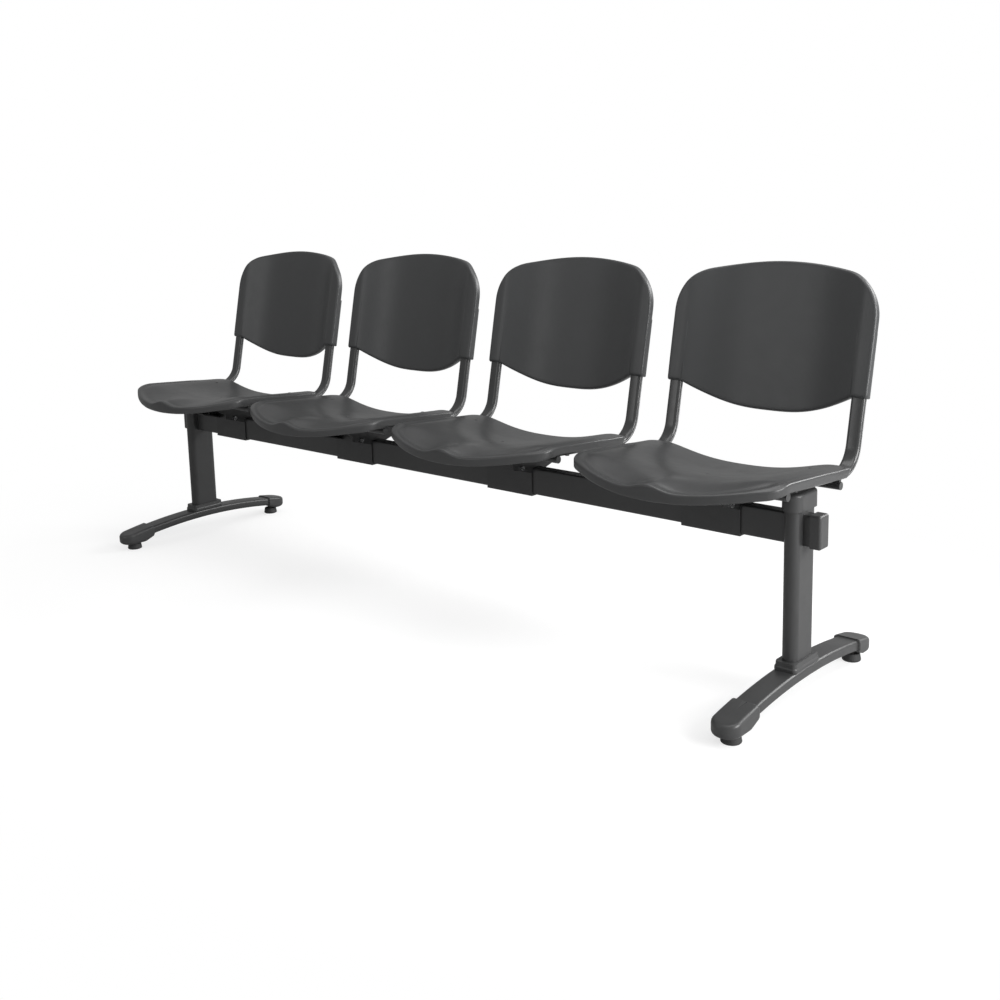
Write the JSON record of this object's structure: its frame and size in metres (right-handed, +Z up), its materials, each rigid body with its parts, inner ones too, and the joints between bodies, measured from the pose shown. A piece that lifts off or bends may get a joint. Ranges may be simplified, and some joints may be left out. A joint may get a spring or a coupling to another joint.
{
  "type": "beam seating",
  "caption": "Free-standing beam bench: moulded seats and backs on oval tube frames, bracketed to a steel beam on T-shaped legs with arched feet and levelling glides.",
  "frame": {"origin": "on the floor under the middle of the beam, halfway between the glides", "axes": "+X along the beam to the end that is nearest in the picture, +Y to the rear of the seats, +Z up"},
  "size_m": [2.0446, 0.5634, 0.8189],
  "materials": {
    "shell_plastic": "fine grained moulded polypropylene, satin",
    "trim_plastic": "smooth moulded polypropylene, satin",
    "painted_steel": "semi-matt powder coat",
    "painted_bracket": "semi-matt powder coat on sheet steel",
    "zinc_steel": "bright zinc plated",
    "dark_screw": "black zinc plated",
    "glide_rubber": "moulded rubber",
    "insert_brass": "turned"
  },
  "bodies": {
    "bench": {"beam": "painted_steel", "beam_end_cap_left": "trim_plastic", "column_left": "painted_steel", "column_head_left": "trim_plastic", "foot_collar_left": "trim_plastic", "foot_bar_left": "painted_steel", "toe_cap_left_front": "trim_plastic", "toe_cap_left_rear": "trim_plastic", "beam_end_cap_right": "trim_plastic", "column_right": "painted_steel", "column_head_right": "trim_plastic", "foot_collar_right": "trim_plastic", "foot_bar_right": "painted_steel", "toe_cap_right_front": "trim_plastic", "toe_cap_right_rear": "trim_plastic", "glide_inserts": "insert_brass", "leg_bolts": "dark_screw", "frame_tube_1_left": "painted_steel", "frame_tube_1_right": "painted_steel", "cross_tubes_1": "painted_steel", "beam_bracket_1": "painted_bracket", "keeper_plate_1": "painted_bracket", "seat_shell_1": "shell_plastic", "back_shell_1": "shell_plastic", "frame_tube_2_left": "painted_steel", "frame_tube_2_right": "painted_steel", "cross_tubes_2": "painted_steel", "beam_bracket_2": "painted_bracket", "keeper_plate_2": "painted_bracket", "seat_shell_2": "shell_plastic", "back_shell_2": "shell_plastic", "frame_tube_3_left": "painted_steel", "frame_tube_3_right": "painted_steel", "cross_tubes_3": "painted_steel", "beam_bracket_3": "painted_bracket", "keeper_plate_3": "painted_bracket", "seat_shell_3": "shell_plastic", "back_shell_3": "shell_plastic", "frame_tube_4_left": "painted_steel", "frame_tube_4_right": "painted_steel", "cross_tubes_4": "painted_steel", "beam_bracket_4": "painted_bracket", "keeper_plate_4": "painted_bracket", "seat_shell_4": "shell_plastic", "back_shell_4": "shell_plastic", "cross_tube_plugs": "trim_plastic", "frame_tube_plugs": "trim_plastic", "arm_bolts": "zinc_steel", "clamp_bolts": "dark_screw", "seat_screws": "dark_screw", "back_screws": "dark_screw"},
    "pad_left_front": {"glide_pad_left_front": "glide_rubber"},
    "stud_left_front": {"glide_stud_left_front": "zinc_steel"},
    "pad_left_rear": {"glide_pad_left_rear": "glide_rubber"},
    "stud_left_rear": {"glide_stud_left_rear": "zinc_steel"},
    "pad_right_front": {"glide_pad_right_front": "glide_rubber"},
    "stud_right_front": {"glide_stud_right_front": "zinc_steel"},
    "pad_right_rear": {"glide_pad_right_rear": "glide_rubber"},
    "stud_right_rear": {"glide_stud_right_rear": "zinc_steel"}
  },
  "joints": [
    {"name": "glide_left_front_height", "type": "slide", "parent": "bench", "child": "pad_left_front", "axis": [0, 0, -1], "range_m": [0, 0.01]},
    {"name": "glide_left_front_turn", "type": "hinge", "parent": "pad_left_front", "child": "stud_left_front", "pos_m": [-0.97, -0.24, 0.02], "axis": [0, 0, 1], "range_deg": [0, 2400]},
    {"name": "glide_left_rear_height", "type": "slide", "parent": "bench", "child": "pad_left_rear", "axis": [0, 0, -1], "range_m": [0, 0.01]},
    {"name": "glide_left_rear_turn", "type": "hinge", "parent": "pad_left_rear", "child": "stud_left_rear", "pos_m": [-0.97, 0.24, 0.02], "axis": [0, 0, 1], "range_deg": [0, 2400]},
    {"name": "glide_right_front_height", "type": "slide", "parent": "bench", "child": "pad_right_front", "axis": [0, 0, -1], "range_m": [0, 0.01]},
    {"name": "glide_right_front_turn", "type": "hinge", "parent": "pad_right_front", "child": "stud_right_front", "pos_m": [0.97, -0.24, 0.02], "axis": [0, 0, 1], "range_deg": [0, 2400]},
    {"name": "glide_right_rear_height", "type": "slide", "parent": "bench", "child": "pad_right_rear", "axis": [0, 0, -1], "range_m": [0, 0.01]},
    {"name": "glide_right_rear_turn", "type": "hinge", "parent": "pad_right_rear", "child": "stud_right_rear", "pos_m": [0.97, 0.24, 0.02], "axis": [0, 0, 1], "range_deg": [0, 2400]}
  ],
  "couplings": [
    {"joint": "glide_left_front_turn", "follows": "glide_left_front_height", "rad_per_m": 4188.8},
    {"joint": "glide_left_rear_turn", "follows": "glide_left_rear_height", "rad_per_m": 4188.8},
    {"joint": "glide_right_front_turn", "follows": "glide_right_front_height", "rad_per_m": 4188.8},
    {"joint": "glide_right_rear_turn", "follows": "glide_right_rear_height", "rad_per_m": 4188.8}
  ]
}
